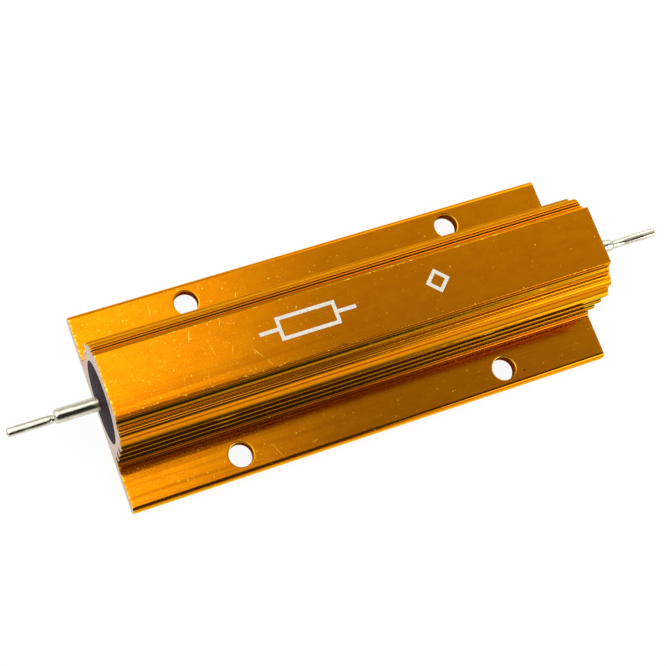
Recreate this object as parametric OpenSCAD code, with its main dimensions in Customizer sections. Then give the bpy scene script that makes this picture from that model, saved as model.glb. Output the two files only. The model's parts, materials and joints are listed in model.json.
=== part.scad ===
// Aluminium housed power resistor: a wirewound element potted inside a finned, gold anodised
// extrusion, with a sealed end and a stepped solder terminal on each side.
// Millimetres. X runs along the housing, Y across it, and Z up from the mounting face.
// The origin is the centre of the mounting face.

/* [Housing] */
// Length of the extrusion, cut to size
housing_length = 71; // [58:0.5:110]
// Bore that takes the wound element
bore_diameter = 11.4; // [9:0.1:15]
// Metal under the bore, down to the mounting face
bore_floor = 1.7; // [1:0.1:4]
// Metal over the bore, up to the crown
bore_roof = 2.1; // [1.5:0.1:4]
// Metal between the bore and the bottom of the side grooves
bore_wall = 0.9; // [0.5:0.05:3]

/* [Mounting flanges] */
// How far each flange stands out past the ribs
flange_reach = 6.6; // [5.4:0.05:12]
// Thickness of the flanges
flange_thickness = 1.8; // [1:0.1:3]
// Radius on the upper outer edge of a flange
flange_edge_radius = 0.6; // [0.1:0.05:0.8]
// Radius on the lower outer edge of a flange
flange_foot_radius = 0.25; // [0.05:0.05:0.6]
// Mounting hole
hole_diameter = 3.4; // [2.8:0.1:4.2]
// Distance between the holes along the housing
hole_spacing = 39.7; // [30:0.1:50]
// Metal between a hole and the outer edge of its flange
hole_edge_gap = 1.15; // [0.8:0.05:2]
// How far the hole pattern lies off the middle of the cut length
hole_shift = 0.5; // [-2:0.1:2]
// Chamfer on both rims of a hole
hole_chamfer = 0.15; // [0.05:0.05:0.4]

/* [Side ribs] */
// Grooves between the ribs on each side
groove_count = 3; // [1:1:3]
// Depth of a groove
groove_depth = 0.9; // [0.4:0.05:1.4]
// Share of the rib spacing that is metal
rib_share = 0.445; // [0.3:0.005:0.6]
// Height of the lowest rib above its flange
toe_height = 0.6; // [0.4:0.05:1]
// Radius on the corners of a rib
rib_radius = 0.28; // [0.05:0.01:0.5]
// Radius at the bottom of a groove
groove_radius = 0.35; // [0.05:0.05:0.6]

/* [Stepped shoulder] */
// Drop from the crown to the ledge on the top rib
ledge_drop = 4.7; // [4.2:0.1:6]
// Width of the ledge and of the cove that rises from it
ledge_width = 0.88; // [0.5:0.01:1.4]
// Height of the cove over the ledge
cove_height = 0.8; // [0.4:0.05:1.2]
// Radius of the cove
cove_radius = 1.5; // [0.3:0.1:2]
// Drop from the crown to the bead on the lip
lip_drop = 1.85; // [1.7:0.05:2.4]
// Width of the lip
lip_width = 1.12; // [0.9:0.01:1.6]
// Radius on the outer corner of the lip
lip_radius = 0.45; // [0.1:0.05:0.5]
// Height of the bead along the inner edge of the lip
bead_height = 0.2; // [0.05:0.01:0.3]
// Width of the bead along the inner edge of the lip
bead_width = 0.3; // [0.2:0.01:0.5]
// Width of the trough beside the lip
trough_width = 0.65; // [0.4:0.05:1]
// Depth of the trough below the lip
trough_depth = 0.15; // [0.05:0.01:0.4]
// Width of the lower of the two steps under the crown
lower_step_width = 0.43; // [0.2:0.01:0.6]
// Height from the lower step to the upper step
lower_step_height = 0.74; // [0.5:0.01:0.8]
// Width of the upper step
upper_step_width = 0.17; // [0.1:0.01:0.4]
// Height from the upper step to the crown
upper_step_height = 0.64; // [0.3:0.01:0.8]
// Rise and lean of the face above each step
step_lean = 0.07; // [0.02:0.01:0.1]
// Radius on the long edges of the crown, lip and ledge
edge_radius = 0.12; // [0.02:0.01:0.2]

/* [Wound element] */
// Ceramic rod that carries the wire
core_diameter = 6.4; // [4:0.1:7]
// Resistance wire
wire_diameter = 0.4; // [0.25:0.05:0.6]
// Turns of wire between the end caps
wire_turns = 26; // [10:1:30]
// Wall of an end cap
cap_wall = 0.48; // [0.3:0.01:0.8]
// Depth to which a cap covers the rod
cap_depth = 3; // [2:0.1:5]
// Room from the face of a cap to the end of the housing
cap_setback = 4.5; // [3.5:0.1:8]

/* [End seals] */
// Thickness of a seal at its rim
seal_thickness = 2.5; // [1.5:0.1:3]
// How far a seal bulges past the cut end
seal_bulge = 0.45; // [0.1:0.05:1]

/* [Terminals] */
// Shank of a terminal
shank_diameter = 2; // [1.4:0.1:3]
// Visible shank of the left terminal
left_shank = 6.4; // [3:0.1:8]
// Visible shank of the right terminal
right_shank = 4.9; // [3:0.1:8]
// Tip of the left terminal beyond its shank
left_tip = 6.3; // [3:0.1:10]
// Tip of the right terminal beyond its shank
right_tip = 7.1; // [3:0.1:10]
// Diameter of a tip
tip_diameter = 1.24; // [0.9:0.01:1.5]
// How far a tip lies off the axis of its shank
tip_shift = 0.15; // [0:0.01:0.25]
// Length of the rounded end of a shank and of a tip
terminal_round = 0.3; // [0.1:0.05:0.4]
// Weld head that joins a terminal to its cap
head_diameter = 3.6; // [3.2:0.1:5]
// Thickness of the weld head
head_thickness = 0.6; // [0.3:0.1:1]

/* [Fits] */
// Clearance between round faces that seat in each other
seat_gap = 0.03; // [0.01:0.01:0.1]

/* [Hidden] */

// Sides of a round face
$fn = 64;
// Largest turn between two points of a rounded corner
arc_step = 15;
// Share of a side that one rounded corner may use
corner_share = 0.46;
// Where the ledge turns into the cove: share of its width still to go, and of its height done
ledge_share = 0.55;
cove_share = 0.35;
// Length by which a cutting tool runs past the faces that it cuts
overrun = 1;
// Cones that make up the dome of a seal, and the rounded end of a bar
dome_steps = 8;
bend_steps = 4;
// Facets round the wire, and steps in one turn of it
wire_sides = 6;
wire_steps = 14;

gold = "goldenrod";
ceramic_white = "ivory";
nichrome = "slategray";
cap_steel = "silver";
cement = "gainsboro";
seal_black = "#3a3236";
tinned = "lightgray";

half_length = housing_length / 2;
bore_height = bore_floor + bore_diameter / 2;
crown_height = bore_floor + bore_diameter + bore_roof;

// Half widths of the profile, from the grooves outwards and then from the ribs inwards
groove_half = bore_diameter / 2 + bore_wall;
rib_half = groove_half + groove_depth;
flange_half = rib_half + flange_reach;
lip_half = rib_half - ledge_width;
trough_half = lip_half - lip_width;
lower_step_half = trough_half - trough_width;
upper_step_half = lower_step_half - lower_step_width;
crown_half = upper_step_half - upper_step_width;

// Heights of the profile
ledge_height = crown_height - ledge_drop;
lip_height = crown_height - lip_drop;
upper_step_top = crown_height - upper_step_height;
lower_step_top = upper_step_top - lower_step_height;
toe_top = flange_thickness + toe_height;
rib_pitch = (ledge_height - toe_top) / groove_count;
rib_thickness = rib_pitch * rib_share;

hole_offset = flange_half - hole_edge_gap - hole_diameter / 2;

// Element, from its middle outwards
cap_face = half_length - cap_setback;
core_half = cap_face - cap_wall;
cap_rim = core_half - cap_depth;
core_radius = core_diameter / 2;
cap_radius = core_radius + seat_gap + cap_wall;
// The wire is swept in straight steps, so its path is widened until each step clears the rod
wire_path_radius = (core_radius + wire_diameter / 2 + seat_gap) / cos(180 / wire_steps);
element_radius = max(cap_radius, wire_path_radius + wire_diameter / 2) + seat_gap;

seal_face = half_length - seal_thickness;
seal_radius = bore_diameter / 2 - seat_gap;
shank_radius = shank_diameter / 2;
head_radius = head_diameter / 2;

function unit(v) = v / norm(v);
function cross2(u, v) = u[0] * v[1] - u[1] * v[0];

// Points of the arc that rounds corner b, on the way from a to c
function rounded_corner(a, b, c, radius) =
    let (
        u = unit(a - b),
        v = unit(c - b),
        half_angle = acos(max(-1, min(1, u * v))) / 2
    )
    radius == 0 || abs(cross2(u, v)) < 0.001 ? [b] :
    let (
        reach = min(radius / tan(half_angle), corner_share * min(norm(a - b), norm(c - b))),
        fitted = reach * tan(half_angle),
        centre = b + unit(u + v) * fitted / sin(half_angle),
        start = b + u * reach - centre,
        turn = (180 - 2 * half_angle) * (cross2(u, v) > 0 ? -1 : 1),
        first = atan2(start[1], start[0]),
        count = ceil(abs(turn) / arc_step)
    )
    [for (i = [0:count]) centre + fitted * [cos(first + turn * i / count), sin(first + turn * i / count)]];

// Closed outline through corners given as [across, up, radius]
function rounded_outline(corners) =
    let (n = len(corners), at = [for (k = corners) [k[0], k[1]]])
    [for (i = [0:n - 1]) each rounded_corner(at[(i + n - 1) % n], at[i], at[(i + 1) % n], corners[i][2])];

// Corners of one side of the extrusion, from the foot of the flange up to the crown
function flange_corners() = [
    [flange_half, 0, flange_foot_radius],
    [flange_half, flange_thickness, flange_edge_radius],
    [rib_half, flange_thickness, rib_radius]
];

function groove_corners(top, next) = [
    [rib_half, top, rib_radius],
    [groove_half, top, groove_radius],
    [groove_half, next - rib_thickness, groove_radius],
    [rib_half, next - rib_thickness, rib_radius]
];

function shoulder_corners() = [
    [rib_half, ledge_height, edge_radius],
    [lip_half + ledge_width * ledge_share, ledge_height + cove_height * cove_share, cove_radius],
    [lip_half, ledge_height + cove_height, cove_radius],
    [lip_half, lip_height - bead_height, lip_radius],
    [trough_half + bead_width, lip_height - bead_height, bead_width / 2],
    [trough_half, lip_height, edge_radius],
    [trough_half - trough_width / 2, lip_height - trough_depth, trough_width / 2],
    [lower_step_half, lower_step_top, edge_radius],
    [upper_step_half + step_lean, lower_step_top + 2 * step_lean, edge_radius],
    [upper_step_half, upper_step_top, edge_radius],
    [crown_half + step_lean, upper_step_top + step_lean, edge_radius],
    [crown_half, crown_height, edge_radius]
];

function side_corners() = [
    each flange_corners(),
    for (i = [0:groove_count - 1])
        each groove_corners(toe_top + i * rib_pitch, toe_top + (i + 1) * rib_pitch),
    each shoulder_corners()
];

// Both sides of the extrusion are alike, so the second is the first one mirrored and reversed
function profile_corners() =
    let (side = side_corners(), n = len(side))
    [each side, for (i = [n - 1:-1:0]) [-side[i][0], side[i][1], side[i][2]]];

// A cylinder along the axis of the bore, from one station on X to another
module along_bore(from, to, radius) {
    translate([from, 0, bore_height]) rotate([0, 90, 0]) cylinder(h = to - from, r = radius);
}

module mounting_hole() {
    radius = hole_diameter / 2;
    translate([0, 0, -overrun]) cylinder(h = flange_thickness + 2 * overrun, r = radius);
    translate([0, 0, -overrun])
        cylinder(h = overrun + hole_chamfer, r1 = radius + hole_chamfer + overrun, r2 = radius);
    translate([0, 0, flange_thickness - hole_chamfer])
        cylinder(h = overrun + hole_chamfer, r1 = radius, r2 = radius + hole_chamfer + overrun);
}

module housing() {
    color(gold) difference() {
        rotate([90, 0, 90]) linear_extrude(height = housing_length, center = true)
            polygon(rounded_outline(profile_corners()));
        along_bore(-half_length - overrun, half_length + overrun, bore_diameter / 2);
        for (x = [-hole_spacing / 2, hole_spacing / 2], y = [-hole_offset, hole_offset])
            translate([x + hole_shift, y, 0]) mounting_hole();
    }
}

module ceramic_core() {
    color(ceramic_white) along_bore(-core_half, core_half, core_radius);
}

// Helix of round wire, swept from ring to ring between the rims of the caps
module resistance_winding() {
    wire_radius = wire_diameter / 2;
    span = cap_rim - wire_radius - seat_gap;
    count = wire_turns * wire_steps;
    climb = 2 * span / (wire_turns * 2 * PI);
    rings = [
        for (i = [0:count])
        let (
            angle = 360 * i / wire_steps,
            outward = [0, cos(angle), sin(angle)],
            forward = unit([climb, -wire_path_radius * sin(angle), wire_path_radius * cos(angle)]),
            sideways = cross(forward, outward),
            centre = [span * (2 * i / count - 1), 0, bore_height] + wire_path_radius * outward
        )
        for (j = [0:wire_sides - 1])
        let (turn = 360 * j / wire_sides)
        centre + wire_radius * (cos(turn) * outward + sin(turn) * sideways)
    ];
    walls = [
        for (i = [0:count - 1], j = [0:wire_sides - 1])
        let (
            next = (j + 1) % wire_sides,
            a = i * wire_sides + j,
            b = i * wire_sides + next,
            c = a + wire_sides,
            d = b + wire_sides
        )
        each [[a, b, d], [a, d, c]]
    ];
    first_end = [for (j = [wire_sides - 1:-1:0]) j];
    last_end = [for (j = [0:wire_sides - 1]) count * wire_sides + j];
    color(nichrome) polyhedron(points = rings, faces = [each walls, first_end, last_end]);
}

// Pressed cup over one end of the rod
module end_cap() {
    color(cap_steel) difference() {
        along_bore(cap_rim, cap_face, cap_radius);
        along_bore(cap_rim - overrun, core_half, core_radius + seat_gap);
    }
}

module left_end_cap() {
    mirror([1, 0, 0]) end_cap();
}

module right_end_cap() {
    end_cap();
}

// Cement cast round the element, with the room that the element and the two weld heads take
module potting_filler() {
    head_face = cap_face + head_thickness;
    color(cement) difference() {
        along_bore(-seal_face, seal_face, seal_radius);
        along_bore(-cap_face, cap_face, element_radius);
        along_bore(-head_face, head_face, head_radius + seat_gap);
        along_bore(-seal_face - overrun, seal_face + overrun, shank_radius + seat_gap);
    }
}

// Plug of dark resin that closes one end, domed on the outside
module end_seal() {
    hole_radius = shank_radius + seat_gap;
    dome_radius = (seal_radius * seal_radius + seal_bulge * seal_bulge) / (2 * seal_bulge);
    dome = [
        for (i = [0:dome_steps])
        let (radius = hole_radius + (seal_radius - hole_radius) * i / dome_steps)
        [radius, half_length + seal_bulge - dome_radius + sqrt(dome_radius * dome_radius - radius * radius)]
    ];
    color(seal_black) translate([0, 0, bore_height]) rotate([0, 90, 0]) rotate_extrude()
        polygon([[hole_radius, seal_face], each dome, [seal_radius, seal_face]]);
}

module left_end_seal() {
    mirror([1, 0, 0]) end_seal();
}

module right_end_seal() {
    end_seal();
}

// Round bar from one station on X to another, with its far end rounded in a few short cones
module round_ended_bar(from, to, radius) {
    bend = [
        for (i = [0:bend_steps])
        let (angle = 90 * i / bend_steps)
        [radius - terminal_round * (1 - cos(angle)), to - terminal_round * (1 - sin(angle))]
    ];
    translate([0, 0, bore_height]) rotate([0, 90, 0]) rotate_extrude()
        polygon([[0, from], [radius, from], each bend, [0, to]]);
}

// Stepped pin: a weld head on the cap, a round shank and a thinner tip
module terminal(shank, tip) {
    shank_end = half_length + shank;
    color(tinned) union() {
        along_bore(cap_face, cap_face + head_thickness, head_radius);
        round_ended_bar(cap_face, shank_end, shank_radius);
        translate([0, -tip_shift, 0])
            round_ended_bar(shank_end - terminal_round, shank_end + tip, tip_diameter / 2);
    }
}

module left_terminal() {
    mirror([1, 0, 0]) terminal(left_shank, left_tip);
}

module right_terminal() {
    terminal(right_shank, right_tip);
}

housing();
ceramic_core();
resistance_winding();
left_end_cap();
right_end_cap();
potting_filler();
left_end_seal();
right_end_seal();
left_terminal();
right_terminal();
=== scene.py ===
import json
import math

import bmesh
import bpy
from mathutils import Euler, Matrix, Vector, noise


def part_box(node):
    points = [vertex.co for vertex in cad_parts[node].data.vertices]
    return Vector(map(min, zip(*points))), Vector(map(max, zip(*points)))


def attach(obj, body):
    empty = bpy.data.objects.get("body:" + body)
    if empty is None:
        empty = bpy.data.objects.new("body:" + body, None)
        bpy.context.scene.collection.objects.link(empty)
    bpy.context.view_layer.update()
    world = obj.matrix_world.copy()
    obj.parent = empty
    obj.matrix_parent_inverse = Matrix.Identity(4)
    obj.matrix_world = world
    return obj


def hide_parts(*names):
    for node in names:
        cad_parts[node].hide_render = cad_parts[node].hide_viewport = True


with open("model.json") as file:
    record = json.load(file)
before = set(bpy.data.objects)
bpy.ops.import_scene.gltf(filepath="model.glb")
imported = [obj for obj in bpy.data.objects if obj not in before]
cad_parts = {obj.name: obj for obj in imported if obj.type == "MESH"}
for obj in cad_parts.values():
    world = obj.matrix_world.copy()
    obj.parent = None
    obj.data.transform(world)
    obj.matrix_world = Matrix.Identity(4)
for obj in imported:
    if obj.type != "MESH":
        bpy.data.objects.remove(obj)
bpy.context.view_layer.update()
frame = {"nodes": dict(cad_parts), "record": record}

# Aluminium housed power resistor: finished housing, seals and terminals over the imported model,
# with plain studio light and a camera. Lengths are written in millimetres and turned into metres.
MM = 0.001
SNAP = 1e-6

# Housing mesh
STATION_PITCH = 0.36
FLAT_PITCH = 0.42
FLAT_EDGE = 0.06
HIDDEN_PITCH = 1.3
END_STATIONS = (0.05, 0.12, 0.2, 0.3, 0.42, 0.58, 0.8, 1.08)
CUT_CHAMFER = 0.05
ROLL_LENGTH = 0.5
ROLL_DEPTH = 0.03
WORN_AND_LIT_RADIUS = 0.35
NICK_DEPTH = 0.02
NICK_START = 0.3
NICK_SCALE = Vector((1.25, 2.2, 2.2))
HOLE_SIDES = 72
HOLE_RIM = 0.15
HOLE_MARGIN = 0.2
RIM_STEPS = 4
RIM_HIGHLIGHT = 2.0

# Lip and cove of the profile: where they are, and their line as distance from the middle, height
LIP_FROM = (5.6, 10.85, 13.25)
LIP_LINE = (
    (5.70, 13.17), (5.76, 13.19), (5.84, 13.21), (5.93, 13.20), (6.02, 13.15), (6.09, 13.07),
    (6.13, 12.99), (6.19, 12.96), (6.29, 12.92), (6.41, 12.82), (6.52, 12.67), (6.61, 12.47),
    (6.66, 12.22), (6.67, 11.9), (6.67, 11.62), (6.70, 11.46), (6.79, 11.24), (6.94, 10.99), (7.06, 10.82),
)
# Painted shade down the sides of the profile, in the steps, the trough and between the ribs: height, share.
# The back has a part of it
BACK_PAINTED_SHADE = 0.5
PAINTED_SHADE_BANDS = (
    (15.05, 0.0), (14.9, 0.55), (14.12, 0.6), (14.05, 0.9), (13.98, 0.9), (13.9, 0.75), (13.82, 0.8),
    (13.75, 0.95), (13.36, 0.95), (13.34, 0.1), (13.21, 0.0), (13.18, 0.5), (13.16, 0.1), (13.05, 0.1),
    (13.0, 0.7), (12.95, 0.4), (12.88, 0.0), (11.2, 0.1), (10.75, 0.65), (10.5, 0.5), (10.42, 0.1),
    (10.3, 0.5), (9.3, 0.75), (2.3, 0.8), (1.95, 0.3), (1.82, 0.0),
)

# Terminals: where the drawn bar starts, start and end of the shoulder, radii of shank and neck, drop of
# the neck, and the tip: start, end, half width, half height, squareness
LEFT_BAR = (31.0, (41.35, 41.9), 1.0, 0.5, -0.17, (42.35, 48.2, 0.62, 0.56, 2.5))
RIGHT_BAR = (31.0, (38.8, 40.5), 1.0, 0.6, -0.15, (42.3, 47.5, 0.61, 0.58, 2.6))
BAR_SIDES = 48
SEAL_SIDES = 96

# Printed marks on the crown
MARK_HEIGHT = 0.006
MARK_SINK = 0.05
MARK_LINE = 0.5

# Light: the dome, its panels (direction, inner angle, outer angle, amount) and the floor
DOME_LEVEL = 0.8
KEY_PANEL = ((-0.36, 0.31, 0.88), 27.0, 38.0, 1.8)
DIM_SIDE = ((0.05, -0.5, 0.86), 29.0, 54.0, 0.95)
SIDE_PANEL = ((0.62, -0.62, 0.48), 14.0, 23.0, 4.5)
BACK_PANEL = ((0.55, 0.6, 0.58), 12.0, 22.0, 2.2)
FLOOR_SIZE = 3.0
FLOOR_SHADE = 0.12

# Camera
CAMERA_LENS = 84.79
CAMERA_PLACE = Vector((-60.777, -47.094, 206.275))
CAMERA_TURN = Vector((17.615, -10.681, -20.776))


def new_piece(name, bm, materials, nodes=()):
    """A mesh object that rides on the part's body, takes a slot's finish and replaces CAD nodes."""
    bmesh.ops.recalc_face_normals(bm, faces=bm.faces)
    mesh = bpy.data.meshes.new(name)
    bm.to_mesh(mesh)
    bm.free()
    for material in materials:
        mesh.materials.append(material)
    piece = bpy.data.objects.new(name, mesh)
    bpy.context.scene.collection.objects.link(piece)
    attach(piece, "root")
    if nodes:
        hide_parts(*nodes)
    return piece


def smooth_shading(piece, angle):
    """Smooth shading with creases above an angle, and normals that keep flat faces flat."""
    mesh = piece.data
    mesh.polygons.foreach_set("use_smooth", [True] * len(mesh.polygons))
    mesh.set_sharp_from_angle(angle=math.radians(angle))
    weighted = piece.modifiers.new("Flat faces", "WEIGHTED_NORMAL")
    weighted.keep_sharp = True


# ---------------------------------------------------------------- materials


class Finish:
    """A Principled material whose textures are laid out in millimetres of the object."""

    def __init__(self, name, colour, metallic, roughness, **sockets):
        self.material = bpy.data.materials.new(name)
        self.material.use_nodes = True
        self.tree = self.material.node_tree
        self.shader = self.tree.nodes["Principled BSDF"]
        self.set("Base Color", (*colour, 1.0))
        self.set("Metallic", metallic)
        self.set("Roughness", roughness)
        for socket, value in sockets.items():
            self.set(socket.replace("_", " "), value)
        coordinates = self.tree.nodes.new("ShaderNodeTexCoord").outputs["Object"]
        self.place = self.vector("MULTIPLY", coordinates, (1 / MM,) * 3)
        self.normal = None

    def feed(self, socket, value):
        if isinstance(value, bpy.types.NodeSocket):
            self.tree.links.new(value, socket)
        else:
            socket.default_value = value

    def set(self, socket, value):
        self.feed(self.shader.inputs[socket], value)

    def vector(self, operation, a, b):
        node = self.tree.nodes.new("ShaderNodeVectorMath")
        node.operation = operation
        self.feed(node.inputs[0], a)
        self.feed(node.inputs[1], b)
        return node.outputs["Vector"]

    def calc(self, operation, a, b=0.0, clamp=False):
        node = self.tree.nodes.new("ShaderNodeMath")
        node.operation = operation
        node.use_clamp = clamp
        self.feed(node.inputs[0], a)
        self.feed(node.inputs[1], b)
        return node.outputs[0]

    def axis(self, name):
        node = self.tree.nodes.new("ShaderNodeSeparateXYZ")
        self.feed(node.inputs[0], self.place)
        return node.outputs[name]

    def attribute(self, name):
        node = self.tree.nodes.new("ShaderNodeAttribute")
        node.attribute_name = name
        return node.outputs["Fac"]

    def noise(self, scale, detail=2.0, stretch=(1, 1, 1), shift=(0, 0, 0)):
        """Noise with scale features a millimetre, drawn out along an axis where stretch is under 1."""
        place = self.vector("ADD", self.vector("MULTIPLY", self.place, stretch), shift)
        node = self.tree.nodes.new("ShaderNodeTexNoise")
        self.feed(node.inputs["Vector"], place)
        node.inputs["Scale"].default_value = scale
        node.inputs["Detail"].default_value = detail
        return node.outputs["Fac"]

    def remap(self, value, low, high, to_low=0.0, to_high=1.0):
        node = self.tree.nodes.new("ShaderNodeMapRange")
        node.interpolation_type = "SMOOTHSTEP"
        ends = (value, low, high, to_low, to_high)
        for socket, end in zip(node.inputs, ends):
            self.feed(socket, end)
        return node.outputs[0]

    def blend(self, factor, a, b):
        """A colour between a and b."""
        node = self.tree.nodes.new("ShaderNodeMix")
        node.data_type = "RGBA"
        self.feed(node.inputs["Factor"], factor)
        self.feed(node.inputs[6], a if isinstance(a, bpy.types.NodeSocket) else (*a, 1.0))
        self.feed(node.inputs[7], b if isinstance(b, bpy.types.NodeSocket) else (*b, 1.0))
        return node.outputs[2]

    def specks(self, scale, size, share):
        """Small round marks, one in some of the cells of a grid with scale cells a millimetre."""
        node = self.tree.nodes.new("ShaderNodeTexVoronoi")
        self.feed(node.inputs["Vector"], self.place)
        node.inputs["Scale"].default_value = scale
        colour = self.tree.nodes.new("ShaderNodeSeparateColor")
        self.feed(colour.inputs[0], node.outputs["Color"])
        spot = self.remap(node.outputs["Distance"], size, size * 0.4)
        kept = self.calc("LESS_THAN", colour.outputs[0], share)
        strength = self.calc("MULTIPLY", kept, colour.outputs[1])
        return self.calc("MULTIPLY", spot, strength)

    def stroke(self, centre, half_sizes, angle):
        """A mark shaped as a thin ellipsoid, 1 along its middle and 0 outside."""
        node = self.tree.nodes.new("ShaderNodeMapping")
        node.vector_type = "TEXTURE"
        self.feed(node.inputs["Vector"], self.place)
        node.inputs["Location"].default_value = centre
        node.inputs["Rotation"].default_value = (0, 0, math.radians(angle))
        node.inputs["Scale"].default_value = half_sizes
        length = self.tree.nodes.new("ShaderNodeVectorMath")
        length.operation = "LENGTH"
        self.feed(length.inputs[0], node.outputs[0])
        return self.remap(length.outputs["Value"], 1.0, 0.3)

    def bump(self, height, millimetres):
        """Raises the surface by height, where 1 is so many millimetres."""
        node = self.tree.nodes.new("ShaderNodeBump")
        node.inputs["Distance"].default_value = millimetres * MM
        self.feed(node.inputs["Height"], height)
        if self.normal is not None:
            self.feed(node.inputs["Normal"], self.normal)
        self.normal = node.outputs[0]
        self.set("Normal", self.normal)


# Scratches: middle x, y and height, half length, half width, angle from X, strength
SCRATCHES = (
    (-23.2, 3.1, 15.2, 1.15, 0.10, 71, 1.0),
    (-20.9, 0.45, 15.2, 1.2, 0.07, 97, 0.6),
    (-18.4, -0.25, 15.2, 0.85, 0.07, 70, 0.6),
    (-15.45, -1.7, 15.2, 1.25, 0.07, -57, 0.8),
    (-14.35, -3.4, 15.2, 0.8, 0.06, -60, 0.6),
    (-18.9, 3.5, 15.2, 0.5, 0.09, 66, 0.8),
    (-27.8, 0.3, 15.2, 0.8, 0.06, 20, 0.35),
    (-25.6, -2.0, 15.2, 0.7, 0.06, 84, 0.4),
    (-22.6, -3.0, 15.2, 0.9, 0.06, 76, 0.4),
    (-12.45, 10.3, 1.8, 0.55, 0.12, 68, 0.9),
    (-24.6, 11.6, 1.8, 1.5, 0.07, 86, 0.55),
    (-14.4, -12.2, 1.8, 2.2, 0.07, -66, 0.5),
    (-9.0, -12.64, 1.8, 0.5, 0.1, 30, 0.6),
    (15.1, -9.9, 1.8, 0.35, 0.1, 70, 0.6),
    (9.97, -11.1, 1.8, 0.3, 0.09, 10, 0.6),
    (22.3, -11.3, 1.8, 0.75, 0.08, -82, 0.6),
    (26.2, -12.3, 1.8, 0.35, 0.1, 40, 0.6),
    (32.4, -8.7, 1.8, 0.4, 0.1, 75, 0.6),
    (29.35, -12.1, 1.8, 0.3, 0.1, 20, 0.5),
)
SCRATCH_REACH = 0.4
# Small dark pits: middle and radius
PITS = ((23.1, -12.4, 1.8, 0.22),)

# Zones of the gold finish: ends of a fade along X or across Y, and heights
SPECKED_ALONG = (-30.0, 10.0)
STREAKED_ACROSS = (0.5, -4.3)
NICKED_ALONG = (-35.1, -35.4)
CROWN_ABOVE, WORN_AND_LIT_ABOVE, FLANGE_BELOW = 15.1, 15.0, 1.9


def anodised_finish():
    """Gold anodised extrusion: die lines along X, mottled colour, specks, scratches, rubbed edges partly
    painted as dashed highlights, painted highlights round the hole rims, and painted shade in the grooves of
    the profile.
    """
    gold, deep = (0.86, 0.275, 0.002), (0.8, 0.24, 0.0015)
    dull, streaky = (0.7, 0.19, 0.001), (0.55, 0.15, 0.001)
    # Painted light in these colours: the dark brown is painted shade for the grooves, and the bright yellow
    # is a painted highlight on rubbed edges and hole rims, besides being the own colour of specks and
    # scratches.
    pale_marks_and_highlights, dark, pitted = (1.0, 0.74, 0.07), (0.3, 0.14, 0.002), (0.08, 0.03, 0.001)
    f = Finish("Gold anodised aluminium", gold, 0.97, 0.13, Specular_Tint=(1.0, 0.95, 0.06, 1.0))
    mottle = f.noise(0.9, 3.0, (0.6, 1, 1))
    lines = f.noise(3.2, 3.0, (0.012, 1, 1))
    grain = f.noise(5.0, 2.0, (0.7, 1, 1), (3, 9, 4))
    streaks = f.noise(1.3, 2.0, (0.03, 1, 1), (4, 1, 6))
    x, y, z = (f.axis(name) for name in "XYZ")
    left = f.remap(x, *SPECKED_ALONG, 1.0, 0.0)
    front = f.calc("MULTIPLY", f.remap(y, *STREAKED_ACROSS), left)
    colour = f.blend(f.remap(mottle, 0.3, 0.75), gold, deep)
    colour = f.blend(f.calc("MULTIPLY", f.remap(grain, 0.35, 0.7), 0.3), colour, dull)
    streaked = f.calc("MULTIPLY", f.remap(streaks, 0.45, 0.65, 0.0, 0.8), front)
    colour = f.blend(streaked, colour, streaky)
    # Painted shade: the gold turns dark brown in the steps, the trough and between the ribs of the profile.
    painted_shade = f.attribute("painted_shade")
    colour = f.blend(painted_shade, colour, dark)
    top = f.calc("MAXIMUM", f.calc("GREATER_THAN", z, CROWN_ABOVE), f.calc("LESS_THAN", z, FLANGE_BELOW))
    specks = f.specks(1.5, 0.24, f.remap(left, 0.0, 1.0, 0.08, 0.4))
    dust = f.specks(3.4, 0.32, f.remap(left, 0.0, 1.0, 0.08, 0.34))
    marks = f.calc("MULTIPLY", f.calc("MAXIMUM", specks, f.calc("MULTIPLY", dust, 0.7)), top)
    for x0, y0, z0, half_length, half_width, angle, strength in SCRATCHES:
        stroke = f.stroke((x0, y0, z0), (half_length, half_width, SCRATCH_REACH), angle)
        marks = f.calc("MAXIMUM", marks, f.calc("MULTIPLY", stroke, strength))
    # Rubbed edges on the crown and nicks by the left cut end turn bright yellow: partly real rubbing, partly
    # a painted highlight in dashes along the edges.
    wear_and_highlight = f.attribute("edge_wear_and_painted_highlight")
    patches = f.remap(f.noise(2.2, 2.0, (0.6, 1, 1), (5, 2, 8)), 0.58, 0.66)
    patches = f.calc("MULTIPLY", patches, f.calc("GREATER_THAN", z, WORN_AND_LIT_ABOVE))
    worn_and_lit_edges = f.calc("MULTIPLY", f.calc("MINIMUM", wear_and_highlight, 1.0), patches)
    # Painted highlight: the rounded top rims of the holes turn bright yellow all the way round.
    rim = f.calc("MULTIPLY", f.calc("SUBTRACT", wear_and_highlight, 1.0, clamp=True), 0.6)
    nicks_and_highlight = f.calc("MULTIPLY", f.remap(x, *NICKED_ALONG), f.remap(f.noise(2.6, 2.0), 0.5, 0.62))
    light = f.calc("MAXIMUM", f.calc("MULTIPLY", marks, 0.9), f.calc("MULTIPLY", worn_and_lit_edges, 0.8))
    light = f.calc("MAXIMUM", light, f.calc("MAXIMUM", rim, nicks_and_highlight))
    colour = f.blend(light, colour, pale_marks_and_highlights)
    for x0, y0, z0, radius in PITS:
        colour = f.blend(f.stroke((x0, y0, z0), (radius,) * 3, 0), colour, pitted)
    f.set("Base Color", colour)
    rough = f.remap(grain, 0.3, 0.7, 0.09, 0.15)
    f.set("Roughness", f.calc("ADD", rough, f.calc("MULTIPLY", light, 0.25)))
    f.bump(f.noise(0.22, 1.0, (0.5, 1, 1), (2, 2, 2)), 0.02)
    f.bump(lines, 0.0025)
    f.bump(grain, 0.0014)
    f.bump(marks, 0.002)
    return f.material


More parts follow.
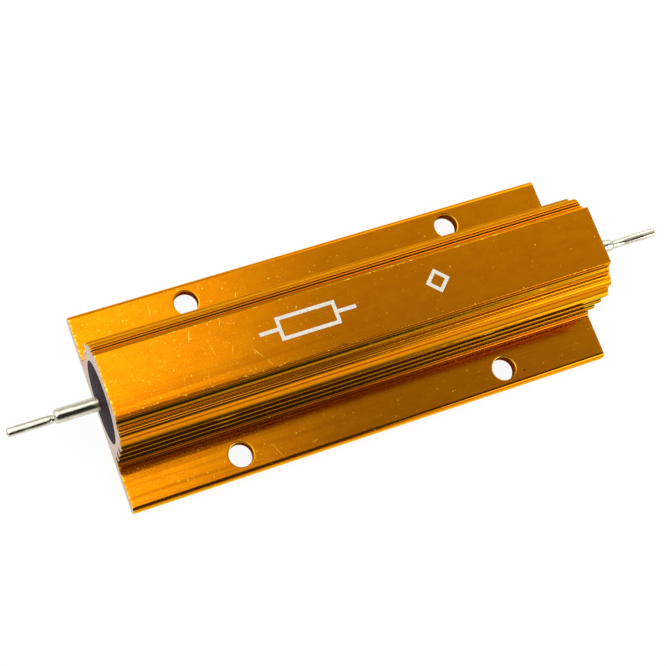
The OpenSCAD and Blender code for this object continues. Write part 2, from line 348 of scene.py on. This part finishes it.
def hole_wall_painted_shade():
    """The walls of the punched holes: gold painted dark brown as painted shade, duller, with lines through
    the sheet.
    """
    f = Finish("Punched hole wall", (0.12, 0.05, 0.004), 1.0, 0.35, Specular_Tint=(0.6, 0.3, 0.1, 1.0))
    shear = f.noise(5.0, 2.0, (1, 1, 0.15))
    # Painted shade: the walls are coloured dark brown, far darker than the gold.
    f.set("Base Color", f.blend(shear, (0.07, 0.03, 0.002), (0.18, 0.07, 0.005)))
    f.set("Roughness", f.remap(shear, 0.3, 0.7, 0.28, 0.45))
    f.bump(shear, 0.006)
    return f.material


def raw_finish():
    """Sawn bare aluminium on the cut ends."""
    f = Finish("Cut aluminium", (0.66, 0.5, 0.4), 1.0, 0.45)
    saw = f.noise(4.0, 3.0, (1, 0.12, 1.4))
    patch = f.noise(1.2, 2.0)
    f.set("Base Color", f.blend(patch, (0.6, 0.44, 0.34), (0.74, 0.58, 0.48)))
    f.set("Roughness", f.remap(saw, 0.3, 0.7, 0.38, 0.55))
    f.bump(saw, 0.012)
    return f.material


def ink_finish():
    """Silver white print, slightly uneven."""
    f = Finish("Silver print", (0.76, 0.73, 0.63), 0.0, 0.5)
    cover = f.noise(3.0, 3.0)
    f.set("Base Color", f.blend(f.remap(cover, 0.3, 0.7), (0.7, 0.67, 0.57), (0.82, 0.79, 0.69)))
    f.bump(f.noise(9.0, 2.0), 0.004)
    return f.material


def resin_finish():
    """Dark violet grey casting resin with a fine, slightly pitted skin."""
    f = Finish("Seal resin", (0.036, 0.02, 0.031), 0.0, 0.6, Specular_IOR_Level=0.02)
    cloud = f.noise(0.8, 3.0)
    grain = f.noise(7.0, 3.0)
    f.set("Base Color", f.blend(cloud, (0.029, 0.016, 0.025), (0.048, 0.03, 0.042)))
    f.set("Roughness", f.remap(grain, 0.3, 0.7, 0.5, 0.7))
    f.bump(grain, 0.012)
    f.bump(cloud, 0.05)
    f.bump(f.specks(1.6, 0.25, 0.25), -0.04)
    return f.material


def tinned_finish():
    """Tin plated bar: drawn lines along X, fine cross marks, slightly dull patches."""
    f = Finish("Tinned metal", (0.7, 0.66, 0.52), 1.0, 0.16)
    drawn = f.noise(6.0, 3.0, (0.06, 1, 1))
    cross = f.noise(5.0, 2.0, (1, 0.1, 0.1))
    patch = f.noise(1.3, 3.0, (0.5, 1, 1))
    f.set("Base Color", f.blend(f.remap(patch, 0.3, 0.7), (0.6, 0.56, 0.43), (0.79, 0.75, 0.61)))
    f.set("Roughness", f.remap(patch, 0.35, 0.7, 0.12, 0.26))
    f.bump(drawn, 0.008)
    f.bump(cross, 0.004)
    f.bump(f.specks(1.8, 0.28, 0.3), -0.02)
    return f.material


def plain_finish(name, dark, light, metallic, roughness, scale, depth, stretch=(1, 1, 1)):
    """A two tone finish for the parts inside the housing."""
    f = Finish(name, light, metallic, roughness)
    tone = f.noise(scale, 3.0, stretch)
    f.set("Base Color", f.blend(tone, dark, light))
    f.set("Roughness", f.remap(tone, 0.3, 0.7, roughness - 0.08, roughness + 0.08))
    f.bump(f.noise(scale * 3, 2.0, stretch), depth)
    return f.material


INNER_FINISHES = {
    "ceramic_core": ("Unglazed ceramic", (0.74, 0.71, 0.63), (0.88, 0.86, 0.8), 0.0, 0.7, 1.2, 0.02),
    "resistance_winding": ("Resistance wire", (0.3, 0.28, 0.27), (0.48, 0.46, 0.45), 1.0, 0.35, 2.0, 0.004),
    "left_end_cap": ("Pressed steel", (0.5, 0.5, 0.5), (0.66, 0.66, 0.65), 1.0, 0.32, 1.5, 0.006),
    "right_end_cap": ("Pressed steel", (0.5, 0.5, 0.5), (0.66, 0.66, 0.65), 1.0, 0.32, 1.5, 0.006),
    "potting_filler": ("Potting cement", (0.6, 0.58, 0.54), (0.78, 0.77, 0.73), 0.0, 0.8, 0.8, 0.05),
}


def finish_inner_nodes():
    """Gives the hidden CAD nodes their materials, one for each kind of part."""
    made = {}
    for node, values in INNER_FINISHES.items():
        if values[0] not in made:
            made[values[0]] = plain_finish(*values)
        for slot in frame["nodes"][node].material_slots:
            slot.material = made[values[0]]


# ---------------------------------------------------------------- housing


def chained(rim):
    """Closed loops of vertices through a list of edges."""
    loops = []
    left = dict.fromkeys(rim)
    while left:
        edge = next(iter(left))
        del left[edge]
        loop = list(edge.verts)
        while True:
            edge = next((e for e in loop[-1].link_edges if e in left), None)
            if edge is None:
                break
            del left[edge]
            loop.append(edge.other_vert(loop[-1]))
        loops.append(loop[:-1] if loop[-1] is loop[0] else loop)
    return loops


def end_loops(node):
    """Loops round the +X end face of a CAD node as lists of (y, z) in millimetres, longest first."""
    bm = bmesh.new()
    bm.from_mesh(frame["nodes"][node].data)
    bmesh.ops.remove_doubles(bm, verts=bm.verts, dist=SNAP)
    end = max(v.co.x for v in bm.verts)
    cap = {f for f in bm.faces if all(end - v.co.x < SNAP for v in f.verts)}
    rim = [e for e in bm.edges if sum(f in cap for f in e.link_faces) == 1]
    loops = [[Vector((v.co.y, v.co.z)) / MM for v in loop] for loop in chained(rim)]
    bm.free()
    loops.sort(key=lambda loop: max(p.x for p in loop), reverse=True)
    return [tidied(loop) for loop in loops]


def cross(a, b):
    return a.x * b.y - a.y * b.x


def tidied(loop):
    """The loop anticlockwise, from its lowest leftmost point, without points on straight runs."""
    if sum(cross(loop[i - 1], loop[i]) for i in range(len(loop))) < 0:
        loop = loop[::-1]
    n = len(loop)
    bends = [
        p
        for i, p in enumerate(loop)
        if abs(cross((p - loop[i - 1]).normalized(), (loop[(i + 1) % n] - p).normalized())) > 0.005
    ]
    first = min(range(len(bends)), key=lambda i: (round(bends[i].y, 4), bends[i].x))
    return bends[first:] + bends[:first]


def outward(direction):
    return Vector((direction.y, -direction.x)).normalized()


def outline_points(loop):
    """Places, outward normals and rubbed edges (0 or 1) along the outline, with long flats divided. The
    rubbed edges also carry a painted highlight.
    """
    places, normals, worn_and_lit_edges = [], [], []
    for i, here in enumerate(loop):
        into, out = here - loop[i - 1], loop[(i + 1) % len(loop)] - here
        turn = math.asin(max(-1, min(1, cross(into.normalized(), out.normalized()))))
        radius = min(into.length, out.length) / max(turn, SNAP)
        places.append(here)
        normals.append((outward(into) + outward(out)).normalized())
        worn_and_lit_edges.append(1.0 if turn > 0 and radius < WORN_AND_LIT_RADIUS else 0.0)
        hidden = here.y < SNAP and abs(out.y) < SNAP
        count = max(1, round(out.length / (HIDDEN_PITCH if hidden else FLAT_PITCH)))
        shares = [k / count for k in range(1, count)]
        if count > 2:
            shares = [FLAT_EDGE / out.length, *shares, 1 - FLAT_EDGE / out.length]
        for share in shares:
            places.append(here + out * share)
            normals.append(outward(out))
            worn_and_lit_edges.append(0.0)
    return places, normals, worn_and_lit_edges


def refined(loop):
    """The loop with the lip, its slope and its cove drawn more finely on both sides."""
    def replaced(p):
        return abs(p.x) > LIP_FROM[0] and LIP_FROM[1] < p.y < LIP_FROM[2]

    n = len(loop)
    points = []
    for i, p in enumerate(loop):
        if not replaced(p):
            points.append(p)
        elif not replaced(loop[i - 1]):
            side = math.copysign(1, p.x)
            line = [Vector((side * y, z)) for y, z in LIP_LINE]
            rising = loop[(i + 1) % n].y > p.y
            points += line[::-1] if rising else line
    return points


def painted_shade_share(place):
    """How much painted shade a place on the outline gets in the steps, the trough and the ribs, from 0 to 1.
    """
    bands = PAINTED_SHADE_BANDS
    for (z0, value0), (z1, value1) in zip(bands, bands[1:]):
        if z1 <= place.y <= z0:
            value = value0 + (value1 - value0) * (z0 - place.y) / (z0 - z1)
            return value * (BACK_PAINTED_SHADE if place.x > 0 else 1.0)
    return 0.0


def stations(half_length):
    """Stations along X, close together near both cut ends."""
    inner = half_length - END_STATIONS[-1]
    count = round(2 * inner / STATION_PITCH)
    middle = [-inner + 2 * inner * k / count for k in range(1, count)]
    ends = [half_length - s for s in (0.0, *END_STATIONS)]
    return [-x for x in ends] + middle + ends[::-1]


def roughened(x, place, worn_and_lit_edges, half_length):
    """Depth to which an edge is nicked, or rounded over towards a cut end, at a station."""
    to_end = half_length - abs(x)
    depth = 0.0
    if to_end < ROLL_LENGTH:
        uneven = 0.65 + noise.noise(Vector((math.copysign(9, x), place.x * 1.7, place.y * 1.7)))
        depth += ROLL_DEPTH * (1 - to_end / ROLL_LENGTH) ** 2 * max(0.1, uneven)
    if worn_and_lit_edges and to_end > SNAP:
        spot = noise.noise(Vector((x, place.x, place.y)) * NICK_SCALE)
        depth += NICK_DEPTH * max(0.0, spot - NICK_START) / (1 - NICK_START)
    return depth


def fill(bm, edges, material):
    """Flat faces between closed loops of edges."""
    made = bmesh.ops.triangle_fill(bm, use_beauty=True, use_dissolve=False, edges=edges)
    for item in made["geom"]:
        if isinstance(item, bmesh.types.BMFace):
            item.material_index = material


def ring_edges(bm, ring):
    return [bm.edges.get((a, b)) or bm.edges.new((a, b)) for a, b in zip(ring, ring[1:] + ring[:1])]


def strip(bm, ring, other, material=0):
    """Faces between two rings with the same number of vertices."""
    n = len(ring)
    for j in range(n):
        k = (j + 1) % n
        bm.faces.new((ring[j], ring[k], other[k], other[j])).material_index = material


def hole_places():
    """Middles of the mounting holes, and their radius, from the record."""
    mount = next(m for m in frame["record"]["mounts"] if m["name"] == "mounting_holes")
    dims, (x0, y0, _) = mount["dims"], mount["pos_m"]
    half_x, half_y = dims["spacing_x_mm"] / 2, dims["spacing_y_mm"] / 2
    places = [(x0 / MM + i * half_x, y0 / MM + j * half_y) for i in (-1, 1) for j in (-1, 1)]
    return places, dims["hole_r_mm"]


def cut_hole(bm, hole, radius, top):
    """Replaces the flat faces round a hole by faces that end at its rims, and adds its wall."""
    reach = radius + HOLE_RIM + HOLE_MARGIN

    def covers(face, height):
        c = face.calc_center_median() / MM
        near = abs(c.x - hole[0]) < reach and abs(c.y - hole[1]) < reach
        return near and abs(c.z - height) < 0.01

    rows = [(radius + HOLE_RIM * (1 - math.sin(a)), HOLE_RIM * (1 - math.cos(a))) for a in
            (math.pi / 2 * k / RIM_STEPS for k in range(RIM_STEPS + 1))]
    flat = rows[0][0] + FLAT_EDGE
    levels = [(flat, top), *((r, top - d) for r, d in rows), *rows[::-1], (flat, 0.0)]
    rings = []
    for r, z in levels:
        ring = []
        for t in (2 * math.pi * k / HOLE_SIDES for k in range(HOLE_SIDES)):
            ring.append(bm.verts.new(Vector((hole[0] + r * math.cos(t), hole[1] + r * math.sin(t), z)) * MM))
        rings.append(ring)
    wear_and_highlight = bm.verts.layers.float["edge_wear_and_painted_highlight"]
    # The rounded top rim of each hole is marked for a painted highlight all the way round.
    for vert in (v for ring in rings[2:RIM_STEPS + 2] for v in ring):
        vert[wear_and_highlight] = RIM_HIGHLIGHT
    for height, ring in ((top, rings[0]), (0.0, rings[-1])):
        window = [f for f in bm.faces if covers(f, height)]
        inside = set(window)
        border = [e for e in dict.fromkeys(e for f in window for e in f.edges)
                  if sum(f in inside for f in e.link_faces) == 1]
        bmesh.ops.delete(bm, geom=window, context="FACES_KEEP_BOUNDARY")
        fill(bm, border + ring_edges(bm, ring), 0)
    for k, (ring, other) in enumerate(zip(rings, rings[1:])):
        strip(bm, ring, other, 3 if k == RIM_STEPS + 1 else 0)


def frame_mark(bm, centre, half_x, half_y, turn, z):
    """Outline of a rectangle as a thin raised line."""
    rings = []
    for grow, height in ((0, z), (MARK_LINE, z), (MARK_LINE, z - MARK_SINK), (0, z - MARK_SINK)):
        a, b = half_x - grow, half_y - grow
        corners = [(a, b), (-a, b), (-a, -b), (a, -b)]
        ring = []
        for x, y in corners:
            c, s = math.cos(turn), math.sin(turn)
            place = Vector((centre[0] + x * c - y * s, centre[1] + x * s + y * c, height))
            ring.append(bm.verts.new(place * MM))
        rings.append(ring)
    for ring, other in zip(rings, rings[1:] + rings[:1]):
        strip(bm, ring, other, 2)


def bar_mark(bm, x0, x1, y, z):
    """A short printed line along X."""
    half = MARK_LINE / 2
    corners = [(x0, y - half), (x1, y - half), (x1, y + half), (x0, y + half)]
    top = [bm.verts.new(Vector((*c, z)) * MM) for c in corners]
    foot = [bm.verts.new(Vector((*c, z - MARK_SINK)) * MM) for c in corners]
    strip(bm, top, foot, 2)
    bm.faces.new(top).material_index = 2
    bm.faces.new(foot[::-1]).material_index = 2


def print_marks(bm, z):
    """A plain resistor symbol and a small diamond, in print."""
    middle, half_x, half_y, lead = (-7.7, 0.45), 4.2, 1.65, 2.6
    frame_mark(bm, middle, half_x, half_y, 0.0, z)
    bar_mark(bm, middle[0] - half_x - lead, middle[0] - half_x, middle[1], z)
    bar_mark(bm, middle[0] + half_x, middle[0] + half_x + lead, middle[1], z)
    frame_mark(bm, (11.0, 0.45), 1.25, 1.25, math.pi / 4, z)


def housing_mesh():
    """The extrusion: its outline swept along X, with holes, sawn ends, a bore and printed marks."""
    outer, bore = end_loops("housing")
    outer = refined(outer)
    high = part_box("housing")[1] / MM
    half_length = high.x
    places, normals, worn_and_lit_edges = outline_points(outer)
    crown = high.z - MARK_HEIGHT
    bm = bmesh.new()
    wear_and_highlight = bm.verts.layers.float.new("edge_wear_and_painted_highlight")
    # This layer carries the painted shade of the steps, the trough and the ribs.
    deep = bm.verts.layers.float.new("painted_shade")
    rings = []
    for x in stations(half_length):
        ring = []
        at_end = half_length - abs(x) < SNAP
        for place, normal, edge in zip(places, normals, worn_and_lit_edges):
            depth = roughened(x, place, edge, half_length) + (CUT_CHAMFER if at_end else 0.0)
            y, z = place - normal * depth
            vert = bm.verts.new(Vector((x, y, max(0.0, min(z, crown)))) * MM)
            vert[wear_and_highlight] = edge
            vert[deep] = painted_shade_share(place)
            ring.append(vert)
        rings.append(ring)
    for k, (ring, other) in enumerate(zip(rings, rings[1:])):
        strip(bm, ring, other, 1 if k in (0, len(rings) - 2) else 0)
    holes, radius = hole_places()
    top = min(z for z in (p.y for p, n in zip(places, normals) if n.y > 0.999) if z > 1)
    for hole in holes:
        cut_hole(bm, hole, radius, top)
    mouths = []
    for x, ring in ((-half_length, rings[0]), (half_length, rings[-1])):
        mouth = [bm.verts.new(Vector((x, p.x, p.y)) * MM) for p in bore]
        fill(bm, ring_edges(bm, ring) + ring_edges(bm, mouth), 1)
        mouths.append(mouth)
    strip(bm, mouths[0], mouths[1], 1)
    print_marks(bm, high.z)
    return bm


# ---------------------------------------------------------------- seals and terminals


def turned(bm, sections, sides, centre):
    """A closed bar along X through sections given as (x, half y, half z, y shift, squareness)."""
    rings = []
    for x, half_y, half_z, shift, square in sections:
        ring = []
        for k in range(sides):
            t = 2 * math.pi * k / sides
            c, s = math.cos(t), math.sin(t)
            power = 2 / square
            y = math.copysign(abs(c) ** power, c) * half_y + shift
            z = math.copysign(abs(s) ** power, s) * half_z
            ring.append(bm.verts.new(Vector((x, centre[0] + y, centre[1] + z)) * MM))
        rings.append(ring)
    for ring, other in zip(rings, rings[1:]):
        strip(bm, ring, other)
    bm.faces.new(rings[0])
    bm.faces.new(rings[-1])


def bent(start, end, steps):
    """Quarter round from start (x, half size) to end, leaving start along X."""
    turns = [math.pi / 2 * k / steps for k in range(steps + 1)]
    return [
        (start[0] + (end[0] - start[0]) * math.sin(t), end[1] + (start[1] - end[1]) * math.cos(t))
        for t in turns
    ]


def terminal_piece(name, node, side, material, sections):
    bm = bmesh.new()
    middle = bore_middle()
    turned(bm, [(side * x, *rest) for x, *rest in sections], BAR_SIDES, middle)
    piece = new_piece(name, bm, [material], [node])
    smooth_shading(piece, 50)
    return piece


def bore_middle():
    low, high = (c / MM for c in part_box("left_end_seal"))
    return (low.y + high.y) / 2, (low.z + high.z) / 2


def bar_sections(start, shoulder, radius, neck, shift, tip):
    """Sections of a stepped terminal: shank, rounded shoulder, neck, and a slightly squared tip."""
    (bend, end), (tip_start, tip_end, half_y, half_z, square) = shoulder, tip
    sections = [(start, radius, radius, 0.0, 2.0), (bend - 0.05, radius, radius, 0.0, 2.0)]
    for x, r in bent((bend, radius), (end, neck + 0.04), 10):
        share = (radius - r) / (radius - neck)
        sections.append((x, r, r, shift * share, 2.0))
    sections.append((end + 0.08, neck, neck, shift, 2.0))
    sections.append((tip_start, half_y * 0.97, half_z * 0.98, shift, 2.0))
    sections.append((tip_start + 0.3, half_y, half_z, shift, square))
    sections.append((tip_end - 0.7, half_y, half_z, shift, square))
    for x, share in bent((tip_end - 0.42, 1.0), (tip_end, 0.35), 8):
        sections.append((x, half_y * share, half_z * share, shift, square))
    return sections


def seal_piece(name, node, side, material):
    """Domed plug: creeps up the terminal in the middle and up the bore wall at its rim."""
    low, high = (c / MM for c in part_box(node))
    face = high.x if side > 0 else -low.x
    back = low.x if side > 0 else -high.x
    rim = (high.z - low.z) / 2 + 0.02
    hole = 1.0
    bulge = face - 35.5
    profile = [(hole, back)]
    for k in range(25):
        share = k / 24
        r = hole + (rim - hole) * share
        creep = 0.12 * math.exp(-(r - hole) / 0.18) + 0.1 * math.exp(-(rim - r) / 0.15)
        profile.append((r, min(face, 35.42 + bulge * 0.8 * (1 - share * share) + creep)))
    profile.append((rim, back))
    bm = bmesh.new()
    middle = bore_middle()
    rings = []
    for r, x in profile:
        ring = []
        for t in (2 * math.pi * k / SEAL_SIDES for k in range(SEAL_SIDES)):
            y, z = middle[0] + r * math.cos(t), middle[1] + r * math.sin(t)
            ring.append(bm.verts.new(Vector((side * x, y, z)) * MM))
        rings.append(ring)
    for ring, other in zip(rings, rings[1:] + rings[:1]):
        strip(bm, ring, other)
    piece = new_piece(name, bm, [material], [node])
    smooth_shading(piece, 40)
    return piece


# ---------------------------------------------------------------- studio


def link_all(tree, pairs):
    for a, b in pairs:
        tree.links.new(a, b)


def studio_world():
    """A soft studio dome: even light with broad bright panels and one dim side, white to the camera."""
    world = bpy.data.worlds.new("Studio")
    bpy.context.scene.world = world
    world.use_nodes = True
    tree = world.node_tree
    tree.nodes.clear()
    add = tree.nodes.new
    place = add("ShaderNodeTexCoord").outputs["Generated"]

    def lobe(direction, inner, outer, amount):
        """Amount inside a cone round a direction, falling to nothing at its outer angle."""
        dot = add("ShaderNodeVectorMath")
        dot.operation = "DOT_PRODUCT"
        tree.links.new(place, dot.inputs[0])
        dot.inputs[1].default_value = Vector(direction).normalized()
        fade = add("ShaderNodeMapRange")
        fade.interpolation_type = "SMOOTHSTEP"
        tree.links.new(dot.outputs["Value"], fade.inputs[0])
        ends = (math.cos(math.radians(outer)), math.cos(math.radians(inner)), 0.0, amount)
        for socket, end in zip(list(fade.inputs)[1:5], ends):
            socket.default_value = end
        return fade.outputs[0]

    def join(operation, a, b):
        node = add("ShaderNodeMath")
        node.operation = operation
        for socket, value in zip(node.inputs, (a, b)):
            if isinstance(value, bpy.types.NodeSocket):
                tree.links.new(value, socket)
            else:
                socket.default_value = value
        return node.outputs[0]

    level = join("MULTIPLY", DOME_LEVEL, join("SUBTRACT", 1.0, lobe(*DIM_SIDE)))
    level = join("ADD", level, lobe(*KEY_PANEL))
    level = join("ADD", level, lobe(*SIDE_PANEL))
    level = join("ADD", level, lobe(*BACK_PANEL))
    studio, white = add("ShaderNodeBackground"), add("ShaderNodeBackground")
    mix, path, out = add("ShaderNodeMixShader"), add("ShaderNodeLightPath"), add("ShaderNodeOutputWorld")
    link_all(tree, (
        (level, studio.inputs["Strength"]),
        (path.outputs["Is Camera Ray"], mix.inputs[0]),
        (studio.outputs[0], mix.inputs[1]),
        (white.outputs[0], mix.inputs[2]),
        (mix.outputs[0], out.inputs["Surface"]),
    ))
    white.inputs["Color"].default_value = (1, 1, 1, 1)


def floor_material():
    """White paper: diffuse, and partly glowing to the camera and to mirrors so that it stays white."""
    material = bpy.data.materials.new("White paper")
    material.use_nodes = True
    tree = material.node_tree
    tree.nodes.clear()
    add = tree.nodes.new
    plain, shaded, glow = (add("ShaderNode" + k) for k in ("BsdfDiffuse", "BsdfDiffuse", "Emission"))
    kinds = ("AddShader", "MixShader", "LightPath", "OutputMaterial")
    both, mix, path, out = (add("ShaderNode" + k) for k in kinds)
    plain.inputs[0].default_value = (0.8, 0.8, 0.8, 1)
    shaded.inputs[0].default_value = (FLOOR_SHADE,) * 3 + (1,)
    glow.inputs["Strength"].default_value = 1.0 - FLOOR_SHADE * 0.8
    any_ray = path.outputs["Is Camera Ray"]
    for name in ("Is Glossy Ray", "Is Transmission Ray"):
        larger = add("ShaderNodeMath")
        larger.operation = "MAXIMUM"
        tree.links.new(any_ray, larger.inputs[0])
        tree.links.new(path.outputs[name], larger.inputs[1])
        any_ray = larger.outputs[0]
    link_all(tree, (
        (shaded.outputs[0], both.inputs[0]),
        (glow.outputs[0], both.inputs[1]),
        (any_ray, mix.inputs[0]),
        (plain.outputs[0], mix.inputs[1]),
        (both.outputs[0], mix.inputs[2]),
        (mix.outputs[0], out.inputs["Surface"]),
    ))
    return material


def studio_floor():
    bm = bmesh.new()
    bmesh.ops.create_grid(bm, x_segments=1, y_segments=1, size=FLOOR_SIZE / 2)
    mesh = bpy.data.meshes.new("Floor")
    bm.to_mesh(mesh)
    bm.free()
    mesh.materials.append(floor_material())
    floor = bpy.data.objects.new("Floor", mesh)
    floor.location.z = -0.05 * MM
    bpy.context.scene.collection.objects.link(floor)


def studio_camera():
    camera = bpy.data.objects.new("Camera", bpy.data.cameras.new("Camera"))
    bpy.context.scene.collection.objects.link(camera)
    camera.location = CAMERA_PLACE * MM
    camera.rotation_euler = Euler([math.radians(a) for a in CAMERA_TURN], "XYZ")
    camera.data.sensor_width = 36.0
    camera.data.lens = CAMERA_LENS
    camera.data.clip_start = 0.01
    bpy.context.scene.camera = camera


def main():
    bpy.context.scene.view_settings.view_transform = "Standard"
    studio_world()
    studio_floor()
    studio_camera()
    finish_inner_nodes()
    gold, resin, tin = anodised_finish(), resin_finish(), tinned_finish()
    finishes = [gold, raw_finish(), ink_finish(), hole_wall_painted_shade()]
    housing = new_piece("finned_housing", housing_mesh(), finishes, ["housing"])
    smooth_shading(housing, 35)
    seal_piece("left_seal", "left_end_seal", -1, resin)
    seal_piece("right_seal", "right_end_seal", 1, resin)
    terminal_piece("left_solder_terminal", "left_terminal", -1, tin, bar_sections(*LEFT_BAR))
    terminal_piece("right_solder_terminal", "right_terminal", 1, tin, bar_sections(*RIGHT_BAR))


main()
